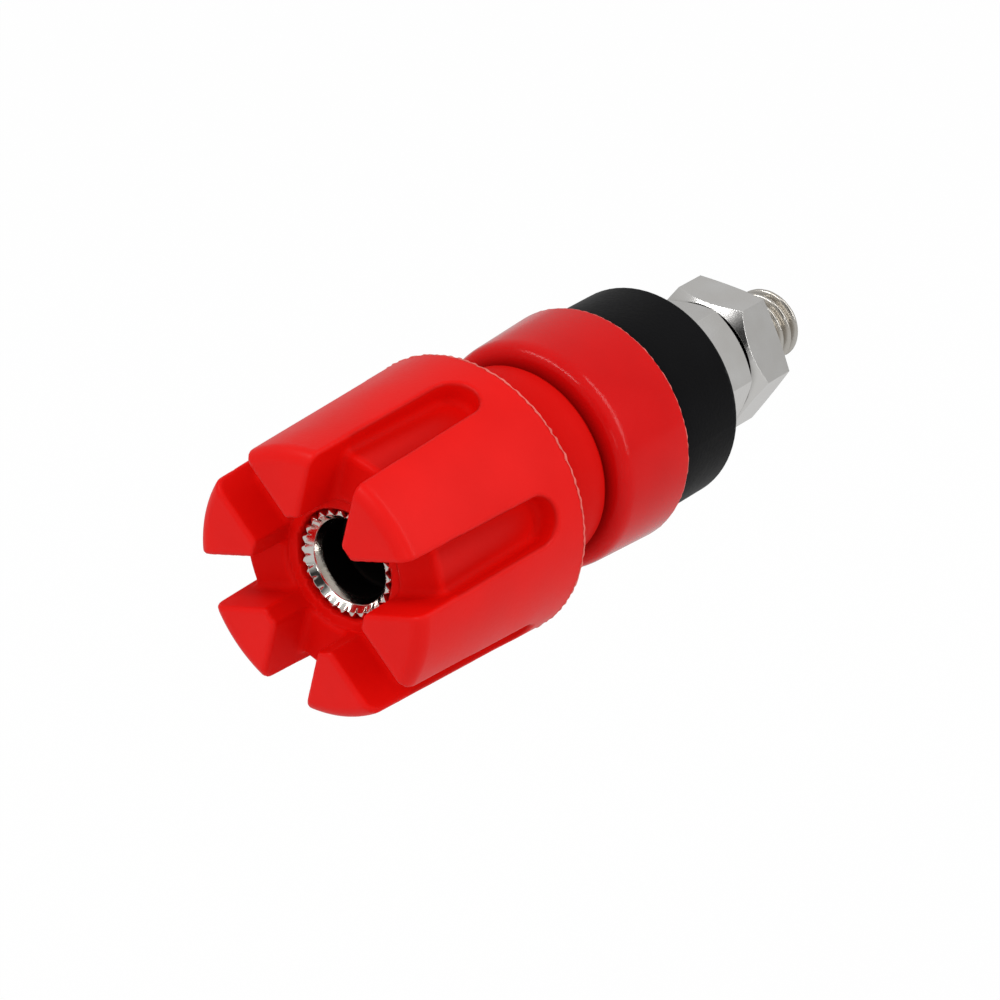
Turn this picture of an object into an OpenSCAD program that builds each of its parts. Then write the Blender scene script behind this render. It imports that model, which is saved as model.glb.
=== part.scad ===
// Panel-mounted banana socket whose grip knob also screws down on bare wire.
// The post lies along Y: the plug enters from -Y, the threaded tail points to +Y, +Z is up.
// The origin is the middle of the panel seat, on the rear face of the collar.
// Sizes are in millimetres.

/* [Plug bore] */
// Bore for the plug pin, in the bush nose and in the post
plug_bore_d = 4; // [3.6:0.1:4.4]
// Widening of the bush mouth, on the diameter
mouth_lead_in = 0.8; // [0.4:0.1:1.1]
// Metal left behind the end of the bore
bore_floor = 1.2; // [0.8:0.1:2]

/* [Grip knob] */
// Diameter at the rim
rim_d = 14.65; // [13.6:0.05:17]
// Diameter across the lobes at the front
lobe_front_d = 13.7; // [12.8:0.1:14.6]
// Diameter of the core at the floor of the slots
core_d = 12.1; // [11:0.1:12.4]
// Diameter of the neck behind the rim
neck_d = 10.4; // [10:0.1:11.4]
// Length of the neck
neck_h = 4.65; // [3:0.05:7]
// Length from the rim to the hub face
grip_h = 9.5; // [7:0.05:14]
// Height of the lobes in front of the hub face
lobe_h = 2.5; // [1:0.05:4]
// Rounding of the front edge of the lobes
lobe_edge_r = 0.55; // [0.2:0.05:0.9]
// Number of slots
slot_n = 6; // [4:1:7]
// Width of a slot at its closed end
slot_rear_w = 2.3; // [1.6:0.05:2.8]
// Width of a slot at the front
slot_front_w = 2.65; // [2:0.05:3.2]
// Plain land between the closed end of a slot and the rim
slot_land = 1.85; // [0.8:0.05:3]
// Turn of the first slot about the post
slot_turn = 15.5; // [0:0.5:60]
// Diameter of the well around the plug mouth
well_d = 6.8; // [6.3:0.1:7.4]
// Depth of the well below the hub face
well_depth = 0.6; // [0.3:0.1:1.2]
// Bevel at the rear edge of the neck
neck_bevel = 0.25; // [0.1:0.05:0.5]

/* [Knob bush] */
// Diameter over the teeth of the nose
nose_d = 5.6; // [5.2:0.05:5.8]
// Number of teeth on the nose
tooth_n = 26; // [20:1:40]
// Depth of a tooth
tooth_depth = 0.3; // [0.1:0.02:0.36]
// Height of the nose above the floor of the well
nose_proud = 0.3; // [0.1:0.05:0.6]
// Length of the plug bore in the nose
nose_wall = 2.2; // [1.8:0.1:3]
// Plastic between the floor of the well and the body of the bush
hub_skin = 0.8; // [0.5:0.1:1.1]
// Diameter of the body inside the knob
bush_d = 8; // [7.6:0.1:8.6]
// Depth of the holding groove in the body
groove_depth = 0.35; // [0.2:0.05:0.45]
// Width of the holding groove
groove_w = 1.6; // [1:0.1:2.4]
// Distance of the bush's rear face from the end of the neck
bush_inset = 0.3; // [0.1:0.05:0.8]

/* [Contact stud] */
// Thread diameter of the post
post_d = 6; // [5.8:0.1:6.6]
// Thread diameter of the tail
tail_d = 4; // [3:0.1:4.4]
// Depth of the post's shank behind the panel seat
shank_depth = 0.6; // [0.3:0.1:1.2]
// Diameter of the flange in the collar
flange_d = 7.8; // [7.2:0.1:8.6]
// Distance across the two flats of the flange
flange_flats = 6.8; // [6.3:0.1:7.1]
// Thickness of the flange
flange_h = 1.5; // [1:0.1:2.5]
// Diameter of the wire hole across the post
wire_hole_d = 2.4; // [1.6:0.1:2.8]
// Distance of the wire hole from the collar
wire_hole_z = 1.9; // [1.6:0.1:2.6]
// Length of tail behind the terminal nut
tail_end = 4; // [2:0.05:12]
// Bevel at the ends of the threads
thread_bevel = 0.35; // [0.2:0.05:0.5]

/* [Collar] */
// Diameter at the panel
collar_rear_d = 12.65; // [12:0.05:16]
// Diameter at the front
collar_front_d = 12.1; // [11.6:0.1:15]
// Length of the collar
collar_h = 5.15; // [4:0.05:8]
// Rounding of the front edge
collar_edge_r = 1.1; // [0.3:0.05:1.4]
// Diameter of the spigot in the panel hole
spigot_d = 7.9; // [7.4:0.1:9]
// Length of the spigot
spigot_h = 2.6; // [1.5:0.1:3.5]

/* [Rear insulator] */
// Diameter of the black washer
insulator_d = 11.5; // [11:0.1:15]
// Thickness of the black washer
insulator_h = 5.15; // [4.4:0.05:8]
// Rounding of its edges
insulator_edge_r = 0.3; // [0.1:0.05:0.6]
// Depth of its socket beyond the end of the spigot
socket_spare = 0.3; // [0.1:0.05:0.6]

/* [Nuts and washer] */
// Distance across the flats of both nuts
nut_flats = 7; // [6.6:0.1:8]
// Thickness of the panel nut
panel_nut_h = 3.3; // [2.2:0.1:4]
// Thickness of the terminal nut
terminal_nut_h = 2.7; // [1.8:0.1:3.4]
// Space between the two nuts
nut_space = 0.3; // [0.3:0.05:4]
// Turn of the panel nut about the post
panel_nut_turn = 6; // [0:0.5:60]
// Turn of the terminal nut about the post
terminal_nut_turn = 56; // [0:0.5:60]
// Diameter of the bearing face inside the bevel
nut_face_d = 6.7; // [5.8:0.05:6.9]
// Angle of the bevel on the front corners of the nuts
nut_bevel_angle = 41; // [15:1:45]
// Angle of the slight bevel on their rear corners
nut_rear_angle = 12; // [8:1:45]
// Outer diameter of the plain washer
plain_washer_d = 9; // [8:0.1:10]
// Thickness of the plain washer
plain_washer_h = 1; // [0.5:0.1:1.2]

/* [Fits] */
// Space between the closed knob and the collar
knob_gap = 0.2; // [0.1:0.05:0.5]
// Radial running clearance in the knob's thread
thread_clearance = 0.05; // [0.02:0.01:0.1]
// Radial clearance between the knob and its bush
bush_clearance = 0.06; // [0.03:0.01:0.1]
// Radial clearance of the stud in the collar
stud_clearance = 0.05; // [0.02:0.01:0.15]
// Radial clearance of the spigot in the black washer
spigot_clearance = 0.12; // [0.05:0.01:0.3]
// Radial clearance of the nuts on the tail thread
nut_clearance = 0.03; // [0.02:0.01:0.06]
// Radial clearance of the washers on the tail
washer_clearance = 0.15; // [0.1:0.01:0.3]

/* [Hidden] */
$fn = 96;
over = 1;
right_angle = 90;
full_turn = 360;
sliver = 0.1;
arc_reach = 1.2;
hex_sides = 6;

// Levels along the post, positive toward the plug
neck_z = collar_h + knob_gap;
rim_z = neck_z + neck_h;
hub_z = rim_z + grip_h;
lobe_z = hub_z + lobe_h;
well_z = hub_z - well_depth;
nose_z = well_z + nose_proud;
slot_end_z = rim_z + slot_land;
bush_rear_z = neck_z + bush_inset;
bush_front_z = well_z - hub_skin;
bush_step_z = nose_z - nose_wall;
post_z = bush_step_z - knob_gap;
groove_z = (bush_rear_z + bush_front_z) / 2;
flange_z = collar_h - flange_h;
tail_z = -shank_depth;
bore_end_z = tail_z + bore_floor;
wire_z = collar_h + wire_hole_z;
insulator_z = -insulator_h;
plain_z = insulator_z - plain_washer_h;
panel_nut_z = plain_z - panel_nut_h;
terminal_front_z = panel_nut_z - nut_space;
terminal_nut_z = terminal_front_z - terminal_nut_h;
stud_end_z = terminal_nut_z - tail_end;

// Diameters that follow from the sizes above
groove_d = bush_d - 2 * groove_depth;
hex_corner_d = nut_flats / cos(full_turn / hex_sides / 2);

// Turns a body built along local Z so that its front faces -Y
module along_post() {
  rotate([right_angle, 0, 0]) children();
}

// Round bar between two levels
module bar(z_rear, z_front, d) {
  translate([0, 0, z_rear]) cylinder(h = z_front - z_rear, d = d);
}

// Round bar with a bevel at either end
module bevelled_bar(z_rear, z_front, d, rear = 0, front = 0) {
  r = d / 2;
  rotate_extrude() polygon([
    [0, z_rear],
    [r - rear, z_rear],
    [r, z_rear + rear],
    [r, z_front - front],
    [r - front, z_front],
    [0, z_front]
  ]);
}

// Half section of a drafted body with a rounded front edge.
// Its straight faces stop a little before the arc, which crosses the short link between them.
module drafted_section(z_rear, z_front, d_rear, d_front, edge_r) {
  draft = atan((d_rear - d_front) / 2 / (z_front - z_rear));
  run = edge_r / tan((right_angle + draft) / 2);
  stop = arc_reach * run;
  corner = [d_front / 2, z_front];
  polygon([
    [0, z_rear],
    [d_rear / 2, z_rear],
    corner + stop * [sin(draft), -cos(draft)],
    corner + stop * [-1, 0],
    [0, z_front]
  ]);
  translate(corner - [run, edge_r]) circle(r = edge_r);
}

// Outline of one slot, seen from the side: round closed end, wider toward the front
module slot_outline() {
  end_r = slot_rear_w / 2;
  end_z = slot_end_z + end_r;
  front_z = lobe_z + over;
  flare = (slot_front_w / 2 - end_r) / (lobe_z - end_z);
  front_r = end_r + flare * (front_z - end_z);
  translate([0, end_z]) circle(r = end_r);
  polygon([
    [-end_r, end_z],
    [end_r, end_z],
    [front_r, front_z],
    [-front_r, front_z]
  ]);
}

// Grip with its slots cut to the axis: a land at the rim and one lobe between each two slots
module slotted_grip() {
  difference() {
    rotate_extrude() drafted_section(rim_z, lobe_z, rim_d, lobe_front_d, lobe_edge_r);
    for (i = [0 : slot_n - 1]) {
      rotate([0, 0, slot_turn + i * full_turn / slot_n])
        translate([well_d / 4, 0, 0]) rotate([right_angle, 0, right_angle])
          linear_extrude(height = rim_d) slot_outline();
    }
  }
}

// Bore of the knob: well, nose hole and the bush seat on both sides of its holding rib
module knob_bore() {
  clear = 2 * bush_clearance;
  bar(well_z, lobe_z + over, well_d);
  bar(bush_rear_z, well_z + over, nose_d + clear);
  bar(neck_z - over, bush_front_z, groove_d + clear);
  bar(neck_z - over, groove_z - groove_w / 2 + bush_clearance, bush_d + clear);
  bar(groove_z + groove_w / 2 - bush_clearance, bush_front_z + bush_clearance, bush_d + clear);
}

// Grip knob, one moulding: neck, core, rim and lobes
module knob() {
  color("#d9231d") along_post() difference() {
    union() {
      slotted_grip();
      bar(rim_z + slot_land / 2, hub_z, core_d);
      bevelled_bar(neck_z, rim_z + over, neck_d, rear = neck_bevel);
    }
    knob_bore();
  }
}

// Cross section of the toothed nose
module nose_section() {
  crest = nose_d / 2;
  root = crest - tooth_depth;
  step = full_turn / tooth_n / 2;
  polygon([
    for (i = [0 : 2 * tooth_n - 1])
      (i % 2 == 0 ? crest : root) * [cos(i * step), sin(i * step)]
  ]);
}

// Threaded bush of the knob, with the toothed nose around the plug mouth
module knob_bush() {
  mouth_depth = mouth_lead_in / 2;
  color("#c9c6bf") along_post() difference() {
    union() {
      bar(bush_rear_z, groove_z - groove_w / 2, bush_d);
      bar(bush_rear_z, bush_front_z, groove_d);
      bar(groove_z + groove_w / 2, bush_front_z, bush_d);
      translate([0, 0, bush_step_z])
        linear_extrude(height = nose_z - bush_step_z) nose_section();
    }
    bar(bush_rear_z - over, bush_step_z, post_d + 2 * thread_clearance);
    bar(bush_rear_z, nose_z + over, plug_bore_d);
    translate([0, 0, nose_z - mouth_depth])
      cylinder(h = mouth_depth + over, d1 = plug_bore_d, d2 = plug_bore_d + mouth_lead_in + 2 * over);
  }
}

// Flange of the stud with its two flats, grown by a clearance for the collar's seat
module stud_flange(z_front, grow) {
  width = flange_flats + 2 * grow;
  intersection() {
    bar(flange_z, z_front, flange_d + 2 * grow);
    translate([-width / 2, -flange_d, flange_z])
      cube([width, 2 * flange_d, z_front - flange_z]);
  }
}

// Turned stud: bored post in front, flange in the collar, threaded tail behind
module contact_stud() {
  color("#c7bfae") along_post() difference() {
    union() {
      bevelled_bar(tail_z, post_z, post_d, front = thread_bevel);
      stud_flange(collar_h, 0);
      bevelled_bar(stud_end_z, tail_z + over, tail_d, rear = thread_bevel);
    }
    bar(bore_end_z, post_z + over, plug_bore_d);
    translate([-post_d, 0, wire_z])
      rotate([0, right_angle, 0]) cylinder(h = 2 * post_d, d = wire_hole_d);
  }
}

// Front insulator: drafted collar with a spigot for the panel hole
module collar() {
  color("#b91713") along_post() difference() {
    union() {
      rotate_extrude()
        drafted_section(0, collar_h, collar_rear_d, collar_front_d, collar_edge_r);
      bar(-spigot_h, over, spigot_d);
    }
    stud_flange(collar_h + over, stud_clearance);
    bar(tail_z - stud_clearance, collar_h + over, post_d + 2 * stud_clearance);
    bar(-spigot_h - over, 0, tail_d + 2 * washer_clearance);
  }
}

// Thick black washer with a socket for the spigot
module rear_insulator() {
  middle_z = insulator_z / 2;
  color("#17171a") along_post() difference() {
    rotate_extrude() {
      drafted_section(middle_z, 0, insulator_d, insulator_d, insulator_edge_r);
      translate([0, insulator_z]) mirror([0, 1])
        drafted_section(middle_z, 0, insulator_d, insulator_d, insulator_edge_r);
    }
    bar(-spigot_h - socket_spare, over, spigot_d + 2 * spigot_clearance);
    bar(insulator_z - over, over, tail_d + 2 * washer_clearance);
  }
}

// Flat metal washer under the panel nut
module plain_washer() {
  color("#bdbbb5") along_post() difference() {
    bar(plain_z, insulator_z, plain_washer_d);
    bar(plain_z - over, insulator_z + over, tail_d + 2 * washer_clearance);
  }
}

// Hexagon nut between two levels, bevelled on both faces
module hex_nut(z_rear, z_front, turn) {
  face_r = nut_face_d / 2;
  reach_r = hex_corner_d / 2 + sliver;
  front_drop = (reach_r - face_r) * tan(nut_bevel_angle);
  rear_drop = (reach_r - face_r) * tan(nut_rear_angle);
  bore = tail_d + 2 * nut_clearance;
  difference() {
    intersection() {
      rotate([0, 0, turn]) translate([0, 0, z_rear])
        cylinder(h = z_front - z_rear, d = hex_corner_d, $fn = hex_sides);
      rotate_extrude() polygon([
        [0, z_rear],
        [face_r, z_rear],
        [reach_r, z_rear + rear_drop],
        [reach_r, z_front - front_drop],
        [face_r, z_front],
        [0, z_front]
      ]);
    }
    bar(z_rear - over, z_front + over, bore);
    translate([0, 0, z_front - thread_bevel])
      cylinder(h = thread_bevel, d1 = bore, d2 = bore + 2 * thread_bevel);
    translate([0, 0, z_rear])
      cylinder(h = thread_bevel, d1 = bore + 2 * thread_bevel, d2 = bore);
  }
}

// Nut that clamps the panel
module panel_nut() {
  color("#c4c2bd") along_post() hex_nut(panel_nut_z, plain_z, panel_nut_turn);
}

// Thin nut that clamps the lead
module terminal_nut() {
  color("#c4c2bd") along_post() hex_nut(terminal_nut_z, terminal_front_z, terminal_nut_turn);
}

knob();
knob_bush();
contact_stud();
collar();
rear_insulator();
plain_washer();
panel_nut();
terminal_nut();
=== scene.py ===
"""Looks of a panel-mounted banana socket with a screw-down grip knob.

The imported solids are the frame. The knob, its bush, the collar, the threaded stud and the panel nut
are replaced by finer surfaces in the same places, the other solids get their finishes, and a plain
white studio is set up. Sizes in the classes are millimetres in the post's own axes: x to the right,
y up, z toward the plug.
"""

import logging
import math
from dataclasses import dataclass
from enum import Enum
from functools import partial
from typing import Any, Optional, Union

import bmesh
import bpy
import numpy as np
from mathutils import Matrix, Vector


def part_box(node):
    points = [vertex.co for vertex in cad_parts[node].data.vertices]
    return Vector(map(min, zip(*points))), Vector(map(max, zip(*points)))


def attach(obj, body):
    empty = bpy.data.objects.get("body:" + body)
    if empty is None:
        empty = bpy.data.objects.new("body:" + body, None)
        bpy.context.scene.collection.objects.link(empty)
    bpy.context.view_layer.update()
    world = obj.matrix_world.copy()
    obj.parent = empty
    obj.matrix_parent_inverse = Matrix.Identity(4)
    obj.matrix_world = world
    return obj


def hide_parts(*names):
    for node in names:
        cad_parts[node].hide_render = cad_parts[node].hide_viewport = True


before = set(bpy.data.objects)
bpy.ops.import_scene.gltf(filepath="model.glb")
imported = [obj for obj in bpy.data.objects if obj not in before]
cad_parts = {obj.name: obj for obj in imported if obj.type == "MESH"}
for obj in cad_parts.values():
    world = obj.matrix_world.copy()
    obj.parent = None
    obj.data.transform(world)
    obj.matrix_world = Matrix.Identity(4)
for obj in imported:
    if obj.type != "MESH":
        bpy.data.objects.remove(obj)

log = logging.getLogger("banana_socket")

Array = np.ndarray
Colour = tuple[float, float, float]
Triple = tuple[float, float, float]
Span = tuple[float, float]
MM = 0.001
FULL_TURN = 2 * math.pi
HEX_SIDES = 6
NUT_TURN = math.radians(6)  # as the panel nut stands on the tail
LEAST_COSINE = 0.1  # keeps the radius of a flat finite
TOUCH = 0.01  # margin in mm by which points of a profile are told apart
MIDDLE = 0.5  # mean of the noise and of the clouds
NOISE_DETAIL = 2.0
CLOUD_CONTRAST = 2.5
BEVEL_SAMPLES = 8
VIEW_SAMPLES = 12
BORE_REAR = -0.3  # level along +Y, in mm, in front of which the plug bore lies
WHITE = (1.0, 1.0, 1.0, 1.0)


class Body(Enum):
    """Bodies of the frame that the new pieces ride on."""

    POST = "post"
    BUSH = "bush"
    GRIP = "grip"


class Ray(Enum):
    """Kinds of ray, as the Light Path node names them."""

    CAMERA = "Is Camera Ray"
    GLOSSY = "Is Glossy Ray"
    TRANSMISSION = "Is Transmission Ray"


# Surfaces


def to_frame(points: Array) -> Array:
    """Turns points from the post's axes in millimetres to the frame in metres: x, -z, y."""
    return np.stack([points[..., 0], -points[..., 2], points[..., 1]], axis=-1) * MM


def post_span(node: str) -> Span:
    """Gives the rear and front level of a CAD node along the post, in millimetres."""
    low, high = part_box(node)
    return -high.y / MM, -low.y / MM


def half_width(node: str) -> float:
    """Gives half the width of a CAD node across the post, in millimetres."""
    low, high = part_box(node)
    return (high.x - low.x) / 2 / MM


def make_piece(
    name: str, points: Array, faces: Array, normals: Optional[Array] = None
) -> bpy.types.Object:
    """Puts points and quads into a smooth mesh, and merges doubled points if no normals are given.

    Args:
        name: name of the object.
        points: one row per vertex, in the post's axes.
        faces: one row of four vertex numbers per quad.
        normals: one row per vertex, in the post's axes, where the surface gives them.

    Returns:
        The new object, linked to the scene.
    """
    mesh = bpy.data.meshes.new(name)
    corners = faces.shape[1]
    mesh.vertices.add(len(points))
    mesh.vertices.foreach_set("co", to_frame(points).astype(np.float32).ravel())
    mesh.loops.add(faces.size)
    mesh.loops.foreach_set("vertex_index", faces.astype(np.int32).ravel())
    mesh.polygons.add(len(faces))
    mesh.polygons.foreach_set("loop_start", np.arange(0, faces.size, corners, dtype=np.int32))
    mesh.update(calc_edges=True)
    if normals is None:
        merge_doubles(mesh)
    mesh.shade_smooth()
    if normals is not None:
        mesh.normals_split_custom_set_from_vertices(to_frame(normals) / MM)
    piece = bpy.data.objects.new(name, mesh)
    bpy.context.scene.collection.objects.link(piece)
    return piece


def merge_doubles(mesh: bpy.types.Mesh, distance: float = 1e-7) -> None:
    """Joins points that lie together, such as those of a pole.

    Args:
        mesh: the mesh to change.
        distance: how near two points have to be, in metres.
    """
    work = bmesh.new()
    work.from_mesh(mesh)
    bmesh.ops.remove_doubles(work, verts=work.verts, dist=distance)
    work.to_mesh(mesh)
    work.free()


def grid_faces(rows: int, columns: int, closed_rows: bool) -> Array:
    """Numbers the quads of a grid whose columns run round and close.

    Args:
        rows: number of rows along the profile.
        columns: number of columns round the axis.
        closed_rows: whether the last row joins the first.

    Returns:
        One row of four vertex numbers per quad, facing outward where the profile runs
        forward along the outside.
    """
    bands = rows if closed_rows else rows - 1
    row, column = np.meshgrid(np.arange(bands), np.arange(columns), indexing="ij")
    next_row = (row + 1) % rows
    next_column = (column + 1) % columns
    quad = [row * columns + column, row * columns + next_column]
    quad += [next_row * columns + next_column, next_row * columns + column]
    return np.stack(quad, axis=-1).reshape(-1, 4)


def eased_profile(corners: Array, steps: int = 5) -> Array:
    """Carries a profile through its corners, each one eased by a parabola.

    The curve at a corner starts and ends its ease away from it, on the two straight sides,
    and has the corner as its control point.

    Args:
        corners: one row of radius, level and ease per corner.
        steps: points on each parabola.

    Returns:
        One row of radius and level per point.
    """
    point, ease = corners[:, :2], corners[:, 2:]
    back = np.roll(point, 1, axis=0) - point
    ahead = np.roll(point, -1, axis=0) - point
    start = point + ease * back / np.linalg.norm(back, axis=1, keepdims=True)
    end = point + ease * ahead / np.linalg.norm(ahead, axis=1, keepdims=True)
    t = np.linspace(0, 1, steps)[None, :, None]
    curve = (1 - t) ** 2 * start[:, None] + 2 * t * (1 - t) * point[:, None] + t**2 * end[:, None]
    return curve.reshape(-1, 2)


def turned(radius: Array, level: Array, angle: Array) -> Array:
    """Gives the points at a radius, a level along the post and an angle round it.

    Args:
        radius: distances from the axis.
        level: distances along the post.
        angle: angles from x toward y, in radians.

    Returns:
        One row of x, y and z per point.
    """
    radius, level, angle = np.broadcast_arrays(radius, level, angle)
    points = np.stack([radius * np.cos(angle), radius * np.sin(angle), level], axis=-1)
    return points.reshape(-1, 3)


def angles(count: int) -> Array:
    """Gives evenly spaced angles round the post, as one row."""
    return np.arange(count)[None, :] * FULL_TURN / count


def flatted(angle: Array, radius: float, half: float) -> Array:
    """Gives a round with two flats: the lesser of the radius and half over the cosine."""
    flats = half / np.maximum(np.abs(np.cos(angle)), LEAST_COSINE)
    return np.minimum(radius, flats)


def ripple(angle: Array, waves: Array, phases: Array) -> Array:
    """Gives the mean of sines round a ring, each with its waves in a turn and its phase."""
    return np.sin(angle[..., None] * waves + phases).mean(axis=-1)


def round_and(a: Array, b: Array, radius: float) -> Array:
    """Intersects two signed distances, negative inside, with a rounded outer edge."""
    # Well inside both it is the greater distance. Near the edge it is the distance from a line that
    # lies a radius inside both surfaces, less that radius.
    corner = np.hypot(np.maximum(radius + a, 0), np.maximum(radius + b, 0))
    return np.minimum(-radius, np.maximum(a, b)) + corner


def round_or(a: Array, b: Array, radius: float) -> Array:
    """Joins two signed distances, negative inside, with a rounded inner corner."""
    return -round_and(-a, -b, radius)


# Shader nodes


class Value:
    """A socket that carries a number, with arithmetic that adds Math nodes."""

    def __init__(self, graph: "Graph", socket: bpy.types.NodeSocket) -> None:
        """Keeps the socket and the graph that it is in."""
        self.graph = graph
        self.socket = socket

    def _math(self, operation: str, first: "Operand", second: "Operand") -> "Value":
        """Adds one Math node on two operands."""
        node = self.graph.node("ShaderNodeMath", {"operation": operation}, {0: first, 1: second})
        return self.graph.value(node, 0)

    def __add__(self, other: "Operand") -> "Value":
        """Adds a number or a value."""
        return self._math("ADD", self, other)

    def __radd__(self, other: "Operand") -> "Value":
        """Adds to a number."""
        return self._math("ADD", other, self)

    def __sub__(self, other: "Operand") -> "Value":
        """Takes a number or a value away."""
        return self._math("SUBTRACT", self, other)

    def __rsub__(self, other: "Operand") -> "Value":
        """Takes this away from a number."""
        return self._math("SUBTRACT", other, self)

    def __mul__(self, other: "Operand") -> "Value":
        """Multiplies by a number or a value."""
        return self._math("MULTIPLY", self, other)

    def __rmul__(self, other: "Operand") -> "Value":
        """Multiplies a number."""
        return self._math("MULTIPLY", other, self)

    def above(self, other: "Operand") -> "Value":
        """Gives the greater of two values."""
        return self._math("MAXIMUM", self, other)

    def limited(self) -> "Value":
        """Holds the value between 0 and 1."""
        return self._math("MINIMUM", self.above(0.0), 1.0)

    def between(self, least: float, most: float) -> "Value":
        """Stretches the values between two limits to 0 and 1."""
        return ((self - least) * (1 / (most - least))).limited()

    def under(self, other: "Operand") -> "Value":
        """Gives 1 where this is the lesser of two values, and 0 elsewhere."""
        return self._math("LESS_THAN", self, other)


Operand = Union[Value, float]
Paint = Union[Colour, bpy.types.NodeSocket]


class Graph:
    """The nodes of one material or world."""

    def __init__(self, owner: Union[bpy.types.Material, bpy.types.World]) -> None:
        """Empties the owner's nodes.

        Args:
            owner: the material or world.
        """
        owner.use_nodes = True
        self.tree = owner.node_tree
        self.tree.nodes.clear()

    def node(
        self, kind: str, settings: dict[str, Any], inputs: dict[Union[str, int], Any]
    ) -> bpy.types.Node:
        """Adds a node.

        Args:
            kind: Blender's type name of the node.
            settings: properties that are set first.
            inputs: values or links of its sockets, by name or number.

        Returns:
            The new node.
        """
        node = self.tree.nodes.new(kind)
        for key, setting in settings.items():
            setattr(node, key, setting)
        for key, given in inputs.items():
            socket = given.socket if isinstance(given, Value) else given
            if isinstance(socket, bpy.types.NodeSocket):
                self.tree.links.new(socket, node.inputs[key])
            else:
                node.inputs[key].default_value = socket
        return node

    def value(self, node: bpy.types.Node, output: Union[str, int]) -> Value:
        """Wraps an output of a node for arithmetic."""
        return Value(self, node.outputs[output])

    def vector(self, operation: str, *operands: Any) -> bpy.types.Node:
        """Adds a Vector Math node on its operands."""
        inputs = dict(enumerate(operands))
        return self.node("ShaderNodeVectorMath", {"operation": operation}, inputs)

    def place(self) -> bpy.types.NodeSocket:
        """Gives the place on the piece, in its own coordinates."""
        return self.node("ShaderNodeTexCoord", {}, {}).outputs["Object"]

    def level(self) -> Value:
        """Gives the place along +Y, in metres."""
        return self.value(self.node("ShaderNodeSeparateXYZ", {}, {"Vector": self.place()}), "Y")

    def noise(self, size_mm: float) -> Value:
        """Adds cloudy noise around 0.5 whose patches have about the given size."""
        inputs = {"Vector": self.place(), "Scale": 1 / (size_mm * MM), "Detail": NOISE_DETAIL}
        return self.value(self.node("ShaderNodeTexNoise", {}, inputs), "Fac")

    def blend(self, factor: Value, first: "Paint", second: "Paint") -> bpy.types.NodeSocket:
        """Mixes two colours.

        Args:
            factor: 0 for the first colour, 1 for the second.
            first: linear colour, or a socket that carries one.
            second: linear colour, or a socket that carries one.

        Returns:
            The mixed colour.
        """
        given = (first, second)
        start, end = ((*paint, 1.0) if isinstance(paint, tuple) else paint for paint in given)
        ends = {0: factor, 6: start, 7: end}
        return self.node("ShaderNodeMix", {"data_type": "RGBA"}, ends).outputs[2]

    def shader(self, kind: str, inputs: dict[str, Any]) -> bpy.types.NodeSocket:
        """Adds a shader and gives its output."""
        return self.node(kind, {}, inputs).outputs[0]

    def mix(
        self, factor: Value, first: bpy.types.NodeSocket, second: bpy.types.NodeSocket
    ) -> bpy.types.NodeSocket:
        """Mixes two shaders: the first at factor 0, the second at 1."""
        return self.node("ShaderNodeMixShader", {}, {0: factor, 1: first, 2: second}).outputs[0]

    def relief(self, height: Value, depth_mm: float, edge_mm: float) -> bpy.types.NodeSocket:
        """Adds a bump on top of softened edges.

        Args:
            height: height pattern, from 0 to 1.
            depth_mm: height at 1.
            edge_mm: radius of the softened edges.

        Returns:
            The normal.
        """
        edge = self.node("ShaderNodeBevel", {"samples": BEVEL_SAMPLES}, {"Radius": edge_mm * MM})
        inputs = {"Height": height, "Distance": depth_mm * MM, "Normal": edge.outputs["Normal"]}
        return self.node("ShaderNodeBump", {}, inputs).outputs["Normal"]

    def cloud(self, size_mm: float) -> Value:
        """Adds soft patches that run all the way from 0 to 1."""
        return (self.noise(size_mm) - MIDDLE) * CLOUD_CONTRAST + MIDDLE

    def bore(self, radius_mm: float) -> Value:
        """Marks the inside of the plug bore: near the axis, and in front of the panel.

        Args:
            radius_mm: radius inside which the surface is marked.

        Returns:
            1 in the bore and 0 elsewhere.
        """
        flat = self.vector("MULTIPLY", self.place(), (1, 0, 1))
        length = self.value(self.vector("LENGTH", flat.outputs["Vector"]), "Value")
        return length.under(radius_mm * MM) * self.level().under(BORE_REAR * MM)

    def open_share(self, reach_mm: float) -> Value:
        """Measures how much of the view from a face is open.

        Args:
            reach_mm: how far away another face still counts.

        Returns:
            1 on a free face, and less in a hollow or close to another piece.
        """
        inputs = {"Distance": reach_mm * MM}
        view = self.node("ShaderNodeAmbientOcclusion", {"samples": VIEW_SAMPLES}, inputs)
        return self.value(view, "AO")

    def behind(self, level_mm: float, step_mm: float = 0.1) -> Value:
        """Gives 1 behind a level along +Y and 0 in front of it, with a soft step behind it."""
        return ((self.level() - level_mm * MM) * (1 / (step_mm * MM))).limited()

    def on_ray(self, *rays: Ray) -> Value:
        """Tells kinds of ray apart.

        Args:
            rays: the kinds that count.

        Returns:
            1 on rays of these kinds and 0 on others.
        """
        path = self.node("ShaderNodeLightPath", {}, {})
        found = self.value(path, rays[0].value)
        for ray in rays[1:]:
            found = found.above(self.value(path, ray.value))
        return found


def grey(tone: float) -> Colour:
    """Gives a grey of an even tone."""
    return (tone, tone, tone)


def tinted(colour: Colour, factor: float) -> Colour:
    """Makes a colour lighter or darker."""
    return tuple(min(1.0, part * factor) for part in colour)


# Finishes


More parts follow.
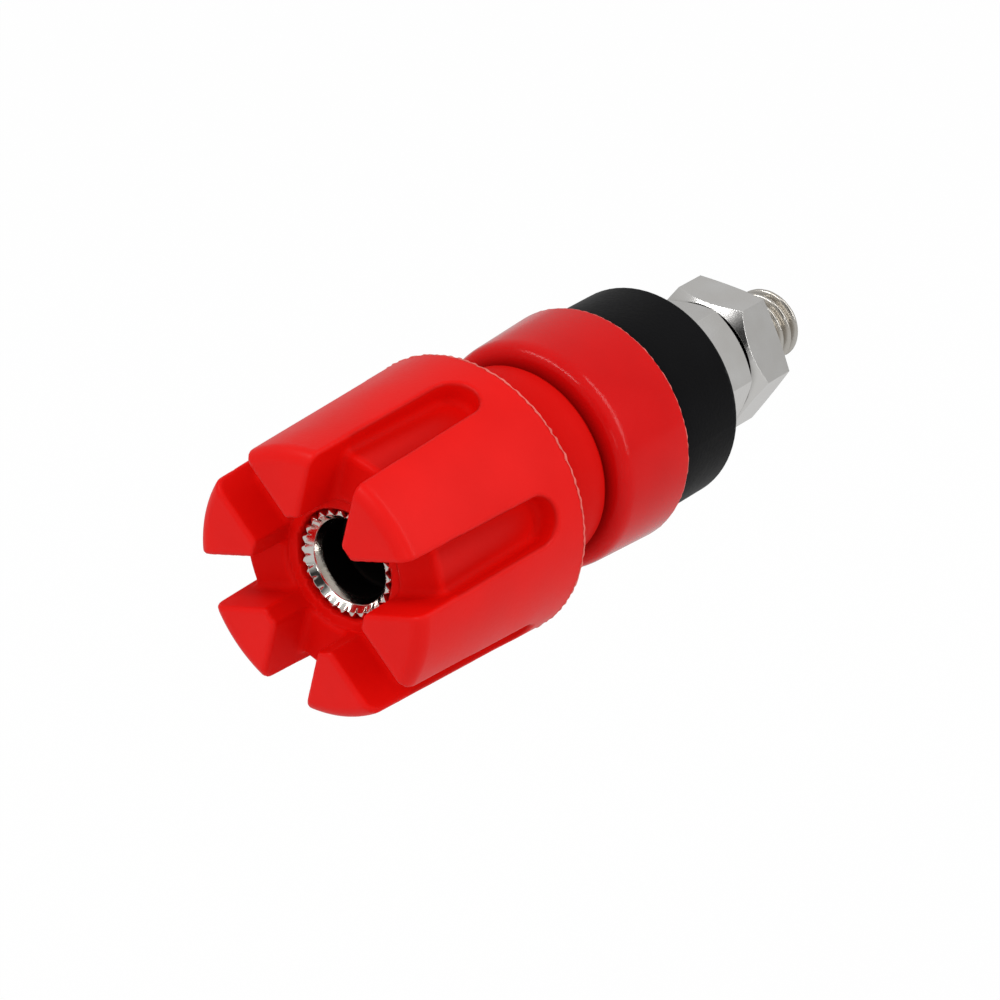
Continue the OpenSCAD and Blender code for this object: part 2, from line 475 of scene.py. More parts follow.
@dataclass(frozen=True)
class Moulding:
    """Moulded plastic: clouded colour, fine grain of the mould, soft edges, duller recesses with
    painted shade.

    The colour is linear, and the sizes are millimetres. The recess_shade, ledge_shade, crease_shade
    and crease_ledge_shade are painted shade, given as shares of the colour: recess_shade in the
    deepest places, ledge_shade in half-open ones, crease_shade in the deepest places behind the neck
    level and crease_ledge_shade in half-open ones there. In front of the hub level all recesses take
    recess_shade. Both levels are along +Y.
    """

    name: str
    colour: Colour
    shade: float
    roughness: float
    grain: float
    grain_depth: float
    edge: float
    shine: float = 0.2
    # painted shade: shares of the colour in the deepest places, on half-open faces and behind the
    # neck level
    recess_shade: float = 0.66
    neck: float = 100.0
    hub: float = -100.0
    ledge_shade: float = 0.93
    crease_shade: float = 0.52
    crease_ledge_shade: float = 0.93
    crease_shift: float = 0.3
    hub_step: float = 0.5
    reach: float = 4.0
    half_open: Span = (0.57, 0.85)
    bright: Span = (0.7, 1.0)
    # painted shade: how far the glossy face gives way to the darker one behind the neck level
    neck_shade: float = 0.5
    cloud_size: float = 3.5
    cloud_rough: float = 0.1
    grain_rough: float = 0.12
    ior: float = 1.47
    dull_roughness: float = 0.6
    dull_shine: float = 0.03

    def material(self) -> bpy.types.Material:
        """Builds the material: a glossy open face over a duller one with painted shade, shown in the
        recesses.

        Returns:
            The material.
        """
        made = bpy.data.materials.new(self.name)
        graph = Graph(made)
        tone = partial(tinted, self.colour)
        cloud = graph.cloud(self.cloud_size)
        grain = graph.noise(self.grain)
        normal = graph.relief(grain, self.grain_depth, self.edge)
        # painted shade: the open share of the view sets how dark the slots, other recesses and the
        # zone behind the neck are painted
        view = graph.open_share(self.reach)
        neck = graph.behind(self.neck)
        in_front = 1 - graph.behind(self.hub, self.hub_step)
        half_open = view.between(*self.half_open)
        in_slot = (half_open - in_front).limited()
        slots = graph.blend(in_slot, tone(self.recess_shade), tone(self.ledge_shade))
        in_crease = (half_open - self.crease_shift).limited()
        crease_painted_shade = graph.blend(in_crease, tone(self.crease_shade), tone(self.crease_ledge_shade))
        uneven = (cloud - MIDDLE) * self.cloud_rough + (grain - MIDDLE) * self.grain_rough
        glossy = graph.shader("ShaderNodeBsdfPrincipled", {
            "Base Color": graph.blend(cloud, tone(1 - self.shade), tone(1 + self.shade)),
            "Roughness": self.roughness + uneven,
            "Normal": normal,
            "IOR": self.ior,
            "Specular IOR Level": self.shine,
        })
        # duller shader whose colour is the painted shade
        dull_and_shaded = graph.shader("ShaderNodeBsdfPrincipled", {
            "Base Color": graph.blend(neck, slots, crease_painted_shade),
            "Roughness": self.dull_roughness,
            "Normal": normal,
            "Specular IOR Level": self.dull_shine,
        })
        # painted shade: the glossy face gives way to the darker one in recesses and behind the neck
        # level
        bright = (view.between(*self.bright) - neck * self.neck_shade).limited()
        surface = graph.mix(bright, dull_and_shaded, glossy)
        graph.node("ShaderNodeOutputMaterial", {}, {"Surface": surface})
        return made


# painted shade: near black colour for the inside of the bore
BORE_SHADE: Colour = (0.016, 0.014, 0.012)


@dataclass(frozen=True)
class Plating:
    """Nickel plate on turned brass: faint warm clouds, fine grain, crisp edges and a bore painted
    dark as shade.

    The colours are linear, and the sizes are millimetres. The gap_shade is painted shade: the share
    of the colour that is left close to another face.
    """

    name: str
    colour: Colour
    warm: Colour
    roughness: float
    grain: float
    grain_depth: float
    edge: float
    bore_r: float = 2.03
    # painted shade close to other faces, as a share of the colour
    gap_shade: float = 1.0
    gap_reach: float = 1.2
    gap_span: Span = (0.4, 0.72)
    cloud_size: float = 1.6
    cloud_rough: float = 0.08
    grain_rough: float = 0.1
    bore_rough: float = 0.35

    def material(self) -> bpy.types.Material:
        """Builds the material.

        Returns:
            The material.
        """
        made = bpy.data.materials.new(self.name)
        graph = Graph(made)
        cloud = graph.cloud(self.cloud_size)
        grain = graph.noise(self.grain)
        clean = graph.blend(cloud, self.warm, self.colour)
        # painted shade: the plate is darkened close to another face
        free = graph.open_share(self.gap_reach).between(*self.gap_span)
        plate = graph.blend(free, tinted(self.warm, self.gap_shade), clean)
        # painted shade: the inside of the bore is coloured near black
        bore = graph.bore(self.bore_r)
        uneven = (cloud - MIDDLE) * self.cloud_rough + (grain - MIDDLE) * self.grain_rough
        surface = graph.shader("ShaderNodeBsdfPrincipled", {
            "Base Color": graph.blend(bore, plate, BORE_SHADE),
            "Metallic": 1.0,
            "Roughness": self.roughness + uneven + bore * self.bore_rough,
            "Normal": graph.relief(grain, self.grain_depth, self.edge),
        })
        graph.node("ShaderNodeOutputMaterial", {}, {"Surface": surface})
        return made


# The shares ending in _shade in these mouldings are painted shade.
KNOB_RED = Moulding(
    "knob_red", (0.66, 0.003, 0.0015), shade=0.04, roughness=0.36, grain=0.16, grain_depth=0.005,
    edge=0.1, shine=0.15, recess_shade=1.0, neck=-9.95, hub=-19.5, ledge_shade=0.52,
)
COLLAR_RED = Moulding(
    "collar_red", (0.53, 0.002, 0.002), shade=0.05, roughness=0.15, grain=0.15, grain_depth=0.007,
    edge=0.1, shine=0.2, recess_shade=0.7,
)
FLASH_PINK = Moulding(
    "flash_pink", (0.66, 0.14, 0.12), shade=0.15, roughness=0.5, grain=0.1, grain_depth=0.01,
    edge=0.02, shine=0.2, recess_shade=1.0,
)
WASHER_BLACK = Moulding(
    "washer_black", (0.002, 0.002, 0.0025), shade=0.25, roughness=0.46, grain=0.2,
    grain_depth=0.012, edge=0.15, shine=0.08, recess_shade=0.8,
)
BUSH_NICKEL = Plating(
    "bush_nickel", (0.84, 0.82, 0.78), (0.76, 0.72, 0.66), roughness=0.14, grain=0.12,
    grain_depth=0.002, edge=0.03,
)
STUD_NICKEL = Plating(
    "stud_nickel", (0.72, 0.7, 0.66), (0.6, 0.56, 0.5), roughness=0.24, grain=0.12,
    grain_depth=0.003, edge=0.02, bore_r=2.3, gap_shade=0.7,
)
NUT_NICKEL = Plating(
    "nut_nickel", (0.86, 0.85, 0.83), (0.82, 0.8, 0.77), roughness=0.17, grain=0.1,
    grain_depth=0.002, edge=0.05, bore_r=2.03, gap_shade=0.06,
)


def dress(piece: bpy.types.Object, material: bpy.types.Material) -> None:
    """Gives a piece its one material.

    Args:
        piece: a new piece or the floor, or a CAD node's object.
        material: the material.
    """
    if not piece.material_slots:
        piece.data.materials.append(material)
    for slot in piece.material_slots:
        slot.material = material


def seat(
    piece: bpy.types.Object, material: bpy.types.Material, body: Body, node: str = ""
) -> None:
    """Dresses a new piece, and makes it ride on a body and stand for a CAD node.

    Args:
        piece: the new piece.
        material: its material.
        body: the body that carries it.
        node: CAD node that it replaces, if any.
    """
    dress(piece, material)
    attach(piece, body.value)
    if node:
        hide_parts(node)
    log.info("%s rides on %s, %d faces", piece.name, body.value, len(piece.data.polygons))


# Sub-assemblies


@dataclass
class Knob:
    """Grip knob: drafted grip with slots, lobes in front of the hub, neck behind the rim."""

    rear: float
    front: float
    rim_r: float
    front_r: float = 6.85
    core_r: float = 6.05
    neck_r: float = 5.2
    neck_length: float = 4.65
    lobe_height: float = 2.5
    slot_count: int = 6
    slot_turn: float = math.radians(15.5)
    slot_rear_half: float = 1.15
    slot_front_half: float = 1.325
    slot_land: float = 1.85
    well_r: float = 3.4
    well_depth: float = 0.15
    nose_hole_r: float = 2.86
    seat_r: float = 4.06
    seat_end: float = 18.16
    lobe_edge: float = 0.7
    slot_edge: float = 0.25
    slot_fillet: float = 0.4
    hub_edge: float = 0.35
    well_edge: float = 0.35
    small_edge: float = 0.12
    overlap: float = 0.5
    cell: float = 0.165
    draws: int = 4
    least_slope: float = 0.25

    @property
    def rim(self) -> float:
        """Level of the rim."""
        return self.rear + self.neck_length

    @property
    def hub(self) -> float:
        """Level of the hub face between the lobes."""
        return self.front - self.lobe_height

    def slots(self, x: Array, y: Array, z: Array) -> Array:
        """Signed distance of the slots, negative inside.

        The turn about the axis is folded into the space of one slot. Seen from the side a slot is a
        half circle at its closed end and widens in a straight line toward the front.

        Args:
            x: places to the right.
            y: places upward.
            z: levels along the post.

        Returns:
            The signed distances.
        """
        share = FULL_TURN / self.slot_count
        fold = np.mod(np.arctan2(y, x) - self.slot_turn + share / 2, share) - share / 2
        across = np.hypot(x, y) * np.sin(fold)
        ahead = z - (self.rim + self.slot_land + self.slot_rear_half)
        widening = self.slot_front_half - self.slot_rear_half
        flare = widening / (self.front - self.rim - self.slot_land)
        straight = np.abs(across) - self.slot_rear_half - flare * ahead
        return np.where(ahead > 0, straight, np.hypot(across, ahead) - self.slot_rear_half)

    def distance(self, points: Array) -> Array:
        """Signed distance of the knob's surface, negative inside.

        The drafted grip is cut by the slots, joined to the core and the neck, and bored by the
        well, the hole for the bush's nose and the seat of the bush.

        Args:
            points: places, with x, y and z on the last axis.

        Returns:
            One signed distance per place.
        """
        x, y, z = points[..., 0], points[..., 1], points[..., 2]
        r = np.hypot(x, y)
        draft = (self.rim_r - self.front_r) / (self.front - self.rim)
        side = (r - self.rim_r + draft * (z - self.rim)) / math.hypot(1, draft)
        grip = round_and(side, z - self.front, self.lobe_edge)
        grip = round_and(grip, self.rim - z, self.small_edge)
        lobes = round_and(grip, -self.slots(x, y, z), self.slot_edge)
        core = round_and(r - self.core_r, z - self.hub, self.hub_edge)
        core = np.maximum(core, self.rim + self.overlap - z)
        well = np.maximum(r - self.well_r, self.hub - self.well_depth - z)
        core = round_and(core, -well, self.well_edge)
        neck = round_and(r - self.neck_r, self.rear - z, self.slot_edge)
        neck = np.maximum(neck, z - self.rim - self.overlap)
        body = round_or(round_or(lobes, core, self.slot_fillet), neck, self.small_edge)
        body = round_and(body, -well, self.small_edge)
        body = np.maximum(body, self.nose_hole_r - r)
        return np.maximum(body, -np.maximum(r - self.seat_r, z - self.seat_end))

    def slope(self, points: Array, step: float = 0.01) -> Array:
        """Gradient of the distance, from differences over a small step each way.

        Args:
            points: one row of x, y and z per place.
            step: length of the step.

        Returns:
            One gradient per place.
        """
        shifts = np.eye(3) * step
        ahead = self.distance(points[:, None] + shifts)
        behind = self.distance(points[:, None] - shifts)
        return (ahead - behind) / (2 * step)

    def build(self) -> bpy.types.Object:
        """Meshes the zero level of the distance on a cube grid.

        Each cell that the surface crosses gets one point, the mean of the crossings on its edges,
        drawn onto the surface along the gradient. Each grid edge that is crossed gets a quad
        between the four cells around it.

        Returns:
            The knob.
        """
        margin = 2 * self.cell
        low = np.array([-self.rim_r, -self.rim_r, self.rear]) - margin
        high = np.array([self.rim_r, self.rim_r, self.front]) + margin
        count = np.ceil((high - low) / self.cell).astype(int) + 1
        lattice = np.stack(np.meshgrid(*[np.arange(n) for n in count], indexing="ij"), axis=-1)
        field = self.distance(low + lattice * self.cell)
        total = np.zeros((*(count - 1), 3))
        hits = np.zeros(count - 1)
        corners = [np.array(corner) for corner in np.ndindex(2, 2, 2)]
        pairs = [(a, b) for a in corners for b in corners if sorted(b - a) == [0, 0, 1]]
        for pair in pairs:
            a, b = pair
            at_a, at_b = (
                field[tuple(slice(n, n + size) for n, size in zip(corner, count - 1))]
                for corner in pair
            )
            crossed = (at_a < 0) != (at_b < 0)
            share = np.where(crossed, at_a / np.where(crossed, at_a - at_b, 1), 0)
            total += np.where(crossed[..., None], a + share[..., None] * (b - a), 0)
            hits += crossed
        mixed = hits > 0
        cells = np.argwhere(mixed)
        points = low + (cells + total[mixed] / hits[mixed][:, None]) * self.cell
        for _ in range(self.draws):
            gradient = self.slope(points)
            length = np.maximum((gradient**2).sum(axis=1), self.least_slope)
            points = points - (self.distance(points) / length)[:, None] * gradient
        number = np.full(count - 1, -1)
        number[mixed] = np.arange(len(cells))
        faces = np.concatenate([self.edge_quads(field, number, axis) for axis in range(3)])
        normals = self.slope(points)
        normals /= np.linalg.norm(normals, axis=1, keepdims=True)
        return make_piece("grip_knob", points, faces, normals)

    @staticmethod
    def edge_quads(field: Array, number: Array, axis: int) -> Array:
        """Gives the quads across the crossed grid edges along one axis.

        Args:
            field: distances on the grid.
            number: vertex number of each cell, or -1.
            axis: axis of the edges.

        Returns:
            One row of four vertex numbers per quad, facing outward.
        """
        order = (axis, (axis + 1) % 3, (axis + 2) % 3)
        inside, cell = (np.transpose(grid, order) for grid in (field < 0, number))
        start, end = inside[:-1, 1:-1, 1:-1], inside[1:, 1:-1, 1:-1]
        around = [cell[:, :-1, :-1], cell[:, 1:, :-1], cell[:, 1:, 1:], cell[:, :-1, 1:]]
        quads = np.stack(around, axis=-1)
        outward = quads[start & ~end]
        inward = quads[~start & end][:, ::-1]
        return np.concatenate([outward, inward])

    def assemble(self) -> None:
        """Builds the knob, dresses it and seats it on the grip."""
        seat(self.build(), KNOB_RED.material(), Body.GRIP, "knob")


@dataclass
class FlashLine:
    """Thin uneven ridge that the mould leaves round an edge.

    Its section is a small ring whose thickness and place vary round the edge, mostly along the
    axis. The inset and the lift are its distances from the edge, inward and toward the plug.
    """

    name: str
    radius: float
    level: float
    inset: float
    lift: float
    thickness: float
    wander: float
    seed: int
    outward: float = 0.3
    wave_span: tuple[int, int] = (12, 110)
    wave_count: int = 14
    thick_mean: float = 0.85
    thick_swing: float = 1.2
    thick_span: Span = (0.5, 1.3)
    columns: int = 720
    rows: int = 8

    def build(self) -> bpy.types.Object:
        """Carries the small ring round the edge.

        A mean of sines of the angle shifts it along the axis and, in part, outward. Another such
        mean changes its thickness, which is held between two limits.

        Returns:
            The ridge.
        """
        random = np.random.default_rng(self.seed)
        waves = random.integers(*self.wave_span, self.wave_count)
        phases = random.uniform(0, FULL_TURN, (2, self.wave_count))
        angle = angles(self.columns)
        shift = self.wander * ripple(angle, waves, phases[0])
        swing = self.thick_swing * ripple(angle, waves, phases[1])
        thick = self.thickness * np.clip(self.thick_mean + swing, *self.thick_span)
        turn = np.arange(self.rows)[:, None] * FULL_TURN / self.rows
        radius = self.radius - self.inset + self.outward * shift + thick * np.cos(turn)
        level = self.level + self.lift + shift + thick * np.sin(turn)
        points = turned(radius, level, angle)
        return make_piece(self.name, points, grid_faces(self.rows, self.columns, True))

    def assemble(self, material: bpy.types.Material, body: Body, slot: str) -> None:
        """Builds the ridge, dresses it and seats it on a body."""
        seat(self.build(), material, body)


@dataclass
class KnobBush:
    """Turned bush in the knob, with a toothed nose round the plug mouth."""

    rear: float
    front: float
    body_r: float = 4.0
    body_front: float = 18.1
    thread_r: float = 3.05
    step: float = 17.0
    bore_r: float = 2.0
    mouth: float = 0.52
    throat: float = 0.2
    throat_depth: float = 0.5
    nose_r: float = 2.8
    nose_bevel: float = 0.1
    tooth_count: int = 26
    tooth_depth: float = 0.35
    tooth_drop: float = 0.05
    tooth_round: float = 1.7
    tooth_end: float = 0.04
    rim_depth: float = 0.06
    body_ease: float = 0.15
    step_ease: float = 0.05
    mouth_ease: float = 0.03
    throat_ease: float = 0.06
    rear_ease: float = 0.2
    columns: int = 520

    def corners(self) -> Array:
        """Gives the closed profile: up the outside, over the nose and down the bore.

        Returns:
            One row of radius, level and ease per corner.
        """
        throat = self.front - self.mouth + self.throat
        return np.array([
            [self.body_r, self.rear, self.body_ease],
            [self.body_r, self.body_front, self.body_ease],
            [self.nose_r, self.body_front, 0.0],
            [self.nose_r, self.front - self.nose_bevel, self.step_ease],
            [self.nose_r - self.nose_bevel, self.front, self.step_ease],
            [self.bore_r + self.mouth, self.front, self.mouth_ease],
            [self.bore_r + self.throat, throat, self.throat_ease],
            [self.bore_r, throat - self.throat_depth, self.throat_ease],
            [self.bore_r, self.step, self.step_ease],
            [self.thread_r, self.step, self.step_ease],
            [self.thread_r, self.rear, self.rear_ease],
        ])

    def build(self) -> bpy.types.Object:
        """Turns the profile round the post and cuts the teeth.

        On the nose the radius drops by the tooth depth, and the level by the tooth drop, times a
        zigzag of the angle, full at the outside and fading to nothing at the mouth.

        Returns:
            The bush.
        """
        profile = eased_profile(self.corners())
        radius, level = profile[:, :1], profile[:, 1:]
        angle = angles(self.columns)
        share = angle * self.tooth_count / FULL_TURN
        zigzag = (2 * np.abs(share - np.round(share))) ** self.tooth_round
        inner = self.bore_r + self.mouth
        fade = np.clip((radius - inner + self.tooth_end) / (self.nose_r - inner), 0, 1)
        on_nose = (level > self.body_front - TOUCH) & (radius < self.nose_r + TOUCH)
        on_rim = level > self.front - self.nose_bevel - self.rim_depth
        cut = zigzag * fade * on_nose
        drop = self.tooth_drop * cut * on_rim
        points = turned(radius - self.tooth_depth * cut, level - drop, angle)
        return make_piece("toothed_bush", points, grid_faces(len(profile), self.columns, True))

    def assemble(self) -> None:
        """Builds the bush, dresses it and seats it on its body."""
        seat(self.build(), BUSH_NICKEL.material(), Body.BUSH, "knob_bush")


@dataclass
class ContactStud:
    """Turned stud: bored and threaded post, flange with two flats, threaded tail."""

    rear: float
    front: float
    post_r: float = 3.0
    post_pitch: float = 0.75
    tail_r: float = 2.0
    tail_pitch: float = 0.7
    tail_front: float = -0.6
    flange_r: float = 3.9
    flange_half: float = 3.4
    flange_rear: float = 3.65
    flange_front: float = 5.15
    bore_r: float = 2.0
    bore_end: float = 0.6
    bevel: float = 0.35
    lip: float = 0.2
    wire_hole_r: float = 1.2
    wire_hole: float = 7.05
    thread_share: float = 0.58
    crest_share: float = 0.14
    flank_share: float = 0.72
    row_step: float = 0.05
    columns: int = 120
    hole_columns: int = 48

    def thread(self, angle: Array, level: Array, radius: float, pitch: float) -> Array:
        """Radius of a right-hand thread.

        The phase is the level over the pitch less the share of a turn. The radius drops from the
        crest by a rounded V of the phase.

        Args:
            angle: angles round the post.
            level: levels along it.
            radius: radius at the crest.
            pitch: rise in a turn.

        Returns:
            The radius at each place.
        """
        phase = level / pitch - angle / FULL_TURN
        rise = 2 * np.abs(phase - np.round(phase))
        groove = np.clip((rise - self.crest_share) / self.flank_share, 0, 1)
        return radius - self.thread_share * pitch * groove * groove * (3 - 2 * groove)

    def build(self) -> bpy.types.Object:
        """Turns the stud as one profile from the tail's end to the floor of the bore.

        A thread's radius is held under a bevel, which grows by the distance from its end. The
        flange is a round with two flats.

        Returns:
            The stud, with the wire hole cut across its post.
        """
        angle = angles(self.columns)
        tail = np.arange(self.rear, self.tail_front, self.row_step)[:, None]
        post = np.arange(self.flange_front, self.front, self.row_step)[:, None]
        tail_end = self.tail_r - self.bevel + tail - self.rear
        post_end = self.post_r - self.bevel + self.front - post
        flange = flatted(angle, self.flange_r, self.flange_half)
        even = np.ones_like(angle)
        radii = [
            0 * even,
            np.minimum(self.thread(angle, tail, self.tail_r, self.tail_pitch), tail_end),
            (self.tail_r - self.bevel) * even,
            self.post_r * even,
            self.post_r * even,
            flange,
            flange,
            np.minimum(self.thread(angle, post, self.post_r, self.post_pitch), post_end),
            (self.post_r - self.bevel) * even,
            (self.bore_r + self.lip) * even,
            self.bore_r * even,
            self.bore_r * even,
            0 * even,
        ]
        levels = [
            self.rear, tail, self.tail_front, self.tail_front, self.flange_rear,
            self.flange_rear, self.flange_front, post, self.front, self.front,
            self.front - self.lip, self.bore_end, self.bore_end,
        ]
        radius = np.concatenate(radii)
        matched = zip(levels, radii)
        level = np.concatenate([np.broadcast_to(at, part.shape) for at, part in matched])
        points = turned(radius, level, angle)
        stud = make_piece("threaded_stud", points, grid_faces(len(radius), self.columns, False))
        self.cut_wire_hole(stud)
        return stud

    def cut_wire_hole(self, stud: bpy.types.Object) -> None:
        """Cuts the hole across the post with a round bar along x.

        Args:
            stud: the stud, whose mesh is changed.
        """
        reach = 2 * self.post_r
        ends = np.array([0, self.wire_hole_r, self.wire_hole_r, 0])[:, None]
        along = np.array([-reach, -reach, reach, reach])[:, None]
        bar = turned(ends, along, angles(self.hole_columns))
        across = np.stack([bar[:, 2], bar[:, 0], bar[:, 1] + self.wire_hole], axis=-1)
        faces = grid_faces(len(ends), self.hole_columns, False)
        cutter = make_piece("wire_hole_bar", across, faces)
        cut = stud.modifiers.new("wire_hole", "BOOLEAN")
        cut.object = cutter
        cut.solver = "EXACT"
        shaped = stud.evaluated_get(bpy.context.evaluated_depsgraph_get())
        stud.data = bpy.data.meshes.new_from_object(shaped)
        stud.modifiers.clear()
        bpy.data.objects.remove(cutter)

    def assemble(self) -> None:
        """Builds the stud, dresses it and seats it on the post."""
        seat(self.build(), STUD_NICKEL.material(), Body.POST, "contact_stud")


@dataclass
class Collar:
    """Moulded collar: tapered round body with a spigot, and the seat of the stud's flange."""

    rear: float
    front: float
    rear_r: float
    seat_level: float = 0.0
    front_r: float = 6.05
    front_edge: float = 1.0
    rear_edge: float = 0.12
    spigot_edge: float = 0.3
    seat_edge: float = 0.05
    shank_edge: float = 0.1
    spigot_r: float = 3.95
    shank_r: float = 3.05
    flange_r: float = 3.95
    flange_half: float = 3.45
    flange_rear: float = 3.65
    steps: int = 9
    columns: int = 360

    def build(self) -> bpy.types.Object:
        """Turns the closed profile: up the outside, over the front and down the hole.

        The wall of the flange's seat and its eased front edge move in to a round with two flats.

        Returns:
            The collar.
        """
        corners = np.array([
            [self.spigot_r, self.rear, self.spigot_edge],
            [self.spigot_r, self.seat_level, 0.0],
            [self.rear_r, self.seat_level, self.rear_edge],
            [self.front_r, self.front, self.front_edge],
            [self.flange_r, self.front, self.seat_edge],
            [self.flange_r, self.flange_rear, 0.0],
            [self.shank_r, self.flange_rear, 0.0],
            [self.shank_r, self.rear, self.shank_edge],
        ])
        profile = eased_profile(corners, self.steps)
        radius, level = profile[:, :1], profile[:, 1:]
        angle = angles(self.columns)
        in_front = level > self.flange_rear - TOUCH
        outside = self.flange_r + self.seat_edge + TOUCH
        on_wall = (radius > self.shank_r + TOUCH) & (radius < outside)
        inward = flatted(angle, self.flange_r, self.flange_half) - self.flange_r
        shift = np.where(in_front & on_wall, inward, 0)
        points = turned(np.maximum(radius + shift, self.shank_r), level, angle)
        return make_piece("red_collar", points, grid_faces(len(profile), self.columns, True))

    def assemble(self) -> None:
        """Builds the collar, dresses it and seats it on the post."""
        seat(self.build(), COLLAR_RED.material(), Body.POST, "collar")


@dataclass
class HexNut:
    """Hexagon nut whose corners are turned down at both faces, with a bevelled hole."""

    name: str
    rear: float
    front: float
    turn: float
    flats: float = 7.0
    face_r: float = 3.35
    bevel_angle: float = math.radians(41)
    hole_r: float = 2.03
    hole_bevel: float = 0.25
    sharp: float = math.radians(15)
    columns: int = 180

    def build(self) -> bpy.types.Object:
        """Carries the closed profile round: up the flats, over the front and down the hole.

        The radius of the flats is half their distance over the cosine of the angle from the middle
        of a flat. Each end of a flat drops by what its radius exceeds the face's, times the tangent
        of the bevel's angle.

        Returns:
            The nut, with its edges kept sharp.
        """
        share = FULL_TURN / HEX_SIDES
        angle = angles(self.columns)
        flat = self.flats / 2 / np.cos(np.mod(angle, share) - share / 2)
        drop = np.maximum(flat - self.face_r, 0) * math.tan(self.bevel_angle)
        even = np.ones_like(angle)
        mouth = self.hole_r + self.hole_bevel
        radii = [mouth, self.face_r, flat, flat, self.face_r, mouth, self.hole_r, self.hole_r]
        levels = [
            self.rear, self.rear, self.rear + drop, self.front - drop, self.front, self.front,
            self.front - self.hole_bevel, self.rear + self.hole_bevel,
        ]
        radius = np.concatenate([part * even for part in radii])
        level = np.concatenate([part * even for part in levels])
        points = turned(radius, level, angle + self.turn)
        nut = make_piece(self.name, points, grid_faces(len(radii), self.columns, True))
        nut.data.set_sharp_from_angle(angle=self.sharp)
        return nut

    def assemble(self, material: bpy.types.Material, node: str) -> None:
        """Builds the nut, dresses it and seats it on the post in place of a CAD node."""
        seat(self.build(), material, Body.POST, node)


# Studio


@dataclass(frozen=True)
class SoftLamp:
    """Long soft lamp that faces the part. Sizes are metres, and the power is in watts.

    The way is the direction from the part to the lamp, and the run is the direction of its length.
    """

    name: str
    way: Triple
    run: Triple
    sides: Span
    power: float
    distance: float = 0.3

    def place(self) -> None:
        """Hangs the lamp in its direction from the part, with its length along its run."""
        data = bpy.data.lights.new(self.name, "AREA")
        data.shape = "RECTANGLE"
        data.size, data.size_y = self.sides
        data.energy = self.power
        lamp = bpy.data.objects.new(self.name, data)
        bpy.context.scene.collection.objects.link(lamp)
        back = Vector(self.way).normalized()
        across = back.cross(Vector(self.run)).normalized()
        turn = Matrix((across.cross(back), across, back)).transposed()
        lamp.location = back * self.distance
        lamp.rotation_euler = turn.to_euler()


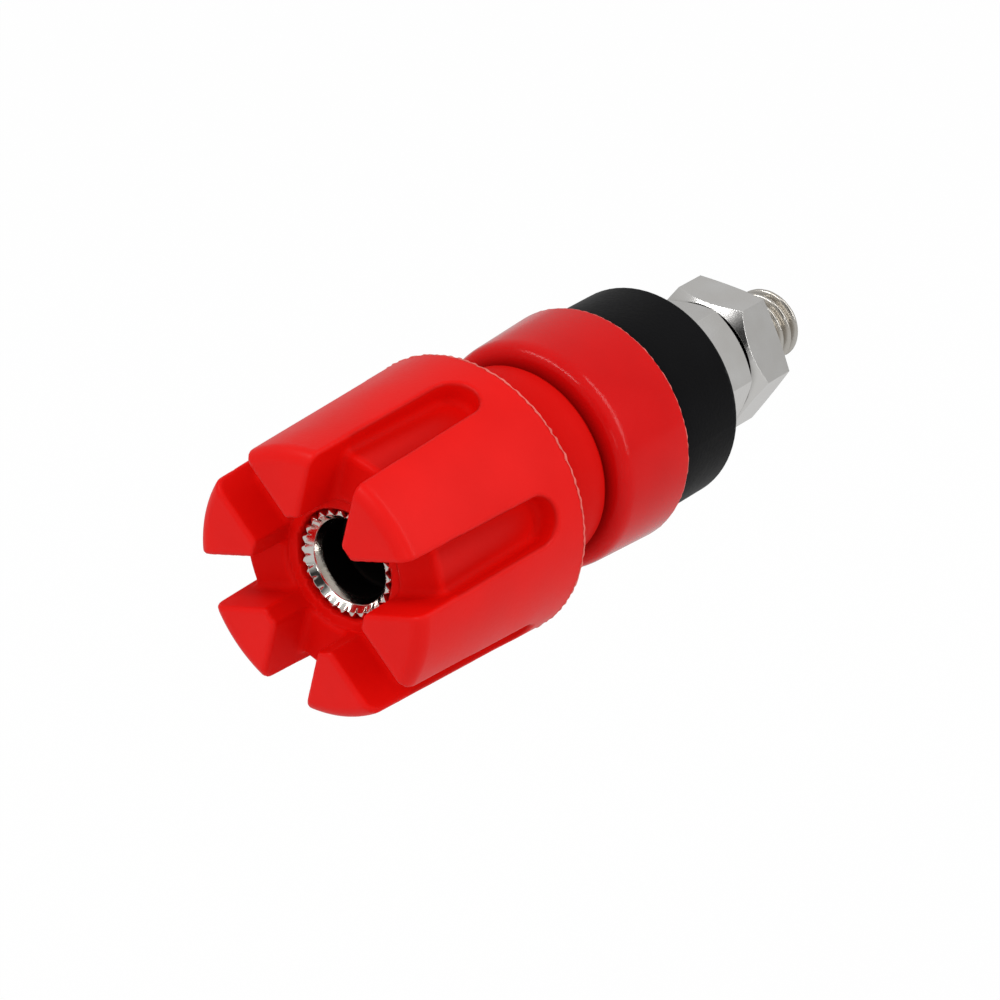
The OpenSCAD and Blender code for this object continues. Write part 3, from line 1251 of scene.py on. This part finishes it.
@dataclass
class Studio:
    """White room with soft lamps. Places are metres in the frame, the lens is in millimetres."""

    eye: Triple = (0.108516, -0.147345, 0.087405)
    back: Triple = (0.54751, -0.70695, 0.44772)
    lens: float = 144.0
    sensor: float = 36.0
    clip_start: float = 0.005
    floor_level: float = -0.045
    floor_half: float = 1.5
    room_light: float = 0.82
    bright_side: Triple = (0.5, -0.86, 0.0)
    bright_share: float = 0.42
    walls: float = 0.42
    ceiling: float = 0.6
    gloom: float = 0.02
    gloom_start: float = 0.88
    gloom_gain: float = 10.0
    floor_tone: float = 0.82
    floor_shine: float = 0.6
    floor_white: float = 0.96
    lamps: tuple[SoftLamp, ...] = (
        SoftLamp("front_lamp", (-0.23, -0.51, 0.83), (0.95, -0.29, 0.08), (0.26, 0.04), 0.27),
        SoftLamp("side_lamp", (0.71, 0.37, 0.6), (0.65, 0.0, -0.76), (0.39, 0.05), 0.28),
        SoftLamp("eye_lamp", (0.76, -0.61, 0.22), (1.0, 1.0, 0.0), (0.03, 0.03), 0.02),
    )

    def place_camera(self) -> None:
        """Sets the camera at the photograph's viewing angle."""
        data = bpy.data.cameras.new("camera")
        data.lens = self.lens
        data.sensor_width = self.sensor
        data.clip_start = self.clip_start
        camera = bpy.data.objects.new("camera", data)
        bpy.context.scene.collection.objects.link(camera)
        camera.location = self.eye
        camera.rotation_euler = (-Vector(self.back)).to_track_quat("-Z", "Y").to_euler()
        bpy.context.scene.camera = camera

    def place_floor(self) -> None:
        """Lays a white floor that shows as white and still takes a faint shadow."""
        side = np.array([-1.0, 1.0]) * self.floor_half / MM
        x, z = np.meshgrid(side, -side, indexing="ij")
        points = np.stack([x, np.full_like(x, self.floor_level / MM), z], axis=-1).reshape(-1, 3)
        floor = make_piece("floor", points, np.array([[0, 2, 3, 1]]))
        made = bpy.data.materials.new("floor_white")
        graph = Graph(made)
        paper = graph.shader("ShaderNodeBsdfDiffuse", {"Color": (*grey(self.floor_tone), 1.0)})
        white = graph.shader("ShaderNodeEmission", {"Color": WHITE, "Strength": 1.0})
        pale = graph.shader("ShaderNodeEmission", {"Color": WHITE, "Strength": self.floor_shine})
        under = graph.mix(graph.on_ray(Ray.GLOSSY, Ray.TRANSMISSION), paper, pale)
        mixed = graph.mix(graph.on_ray(Ray.CAMERA) * self.floor_white, under, white)
        graph.node("ShaderNodeOutputMaterial", {}, {"Surface": mixed})
        dress(floor, made)

    def light_room(self) -> None:
        """Fills the room with soft white light, a little stronger from the bright side.

        The camera sees white all round. Mirrored rays see grey walls under a paler ceiling, and a
        dark patch round the camera.
        """
        world = bpy.data.worlds.new("room")
        bpy.context.scene.world = world
        graph = Graph(world)
        way = graph.node("ShaderNodeTexCoord", {}, {}).outputs["Generated"]
        height = graph.value(graph.node("ShaderNodeSeparateXYZ", {}, {"Vector": way}), "Z")
        walls = graph.blend(height, grey(self.walls), grey(self.ceiling))
        toward = graph.value(graph.vector("DOT_PRODUCT", way, self.back), "Value")
        patch = ((toward - self.gloom_start) * self.gloom_gain).limited()
        walls = graph.blend(patch, walls, grey(self.gloom))
        side = graph.value(graph.vector("DOT_PRODUCT", way, self.bright_side), "Value")
        lit = grey(self.room_light * (1 + self.bright_share))
        unlit = grey(self.room_light * (1 - self.bright_share))
        soft = graph.blend(side.between(-1, 1), unlit, lit)
        fill, room, shown = (
            graph.shader("ShaderNodeBackground", {"Color": colour, "Strength": 1.0})
            for colour in (soft, walls, WHITE)
        )
        light = graph.mix(graph.on_ray(Ray.GLOSSY, Ray.TRANSMISSION), fill, room)
        mixed = graph.mix(graph.on_ray(Ray.CAMERA), light, shown)
        graph.node("ShaderNodeOutputWorld", {}, {"Surface": mixed})

    def build(self) -> None:
        """Sets up the whole room."""
        bpy.context.scene.view_settings.view_transform = "Standard"
        self.place_camera()
        self.place_floor()
        self.light_room()
        for lamp in self.lamps:
            lamp.place()


# The pieces in order


def build_hardware() -> None:
    """Gives the solids that stay visible their finishes, and builds the panel nut."""
    nickel = NUT_NICKEL.material()
    finishes = {
        "rear_insulator": WASHER_BLACK.material(),
        "plain_washer": nickel,
        "terminal_nut": nickel,
    }
    for node, material in finishes.items():
        dress(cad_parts[node], material)
        log.info("%s keeps its solid, finish %s", node, material.name)
    nut = HexNut("bevelled_nut", *post_span("panel_nut"), turn=NUT_TURN)
    nut.assemble(nickel, "panel_nut")


def build_grip() -> None:
    """Builds the knob, its flash line and its bush."""
    knob = Knob(*post_span("knob"), rim_r=half_width("knob"))
    knob.assemble()
    line = FlashLine(
        "rim_flash", knob.rim_r, knob.rim,
        inset=0.04, lift=0.06, thickness=0.066, wander=0.14, seed=4,
    )
    line.assemble(FLASH_PINK.material(), Body.GRIP, "knob_plastic")
    KnobBush(*post_span("knob_bush")).assemble()


def build_post() -> None:
    """Builds the collar with its flash line, and the threaded stud."""
    collar = Collar(*post_span("collar"), rear_r=half_width("collar"))
    collar.assemble()
    line = FlashLine(
        "collar_flash", collar.rear_r, collar.seat_level,
        inset=0.06, lift=0.03, thickness=0.045, wander=0.04, seed=11,
    )
    line.assemble(bpy.data.materials[FLASH_PINK.name], Body.POST, "collar_plastic")
    ContactStud(*post_span("contact_stud")).assemble()


def main() -> None:
    """Builds the pieces in order."""
    logging.basicConfig(level=logging.INFO, format="%(message)s")
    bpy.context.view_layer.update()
    build_grip()
    build_post()
    build_hardware()
    Studio().build()


if __name__ == "__main__":
    main()
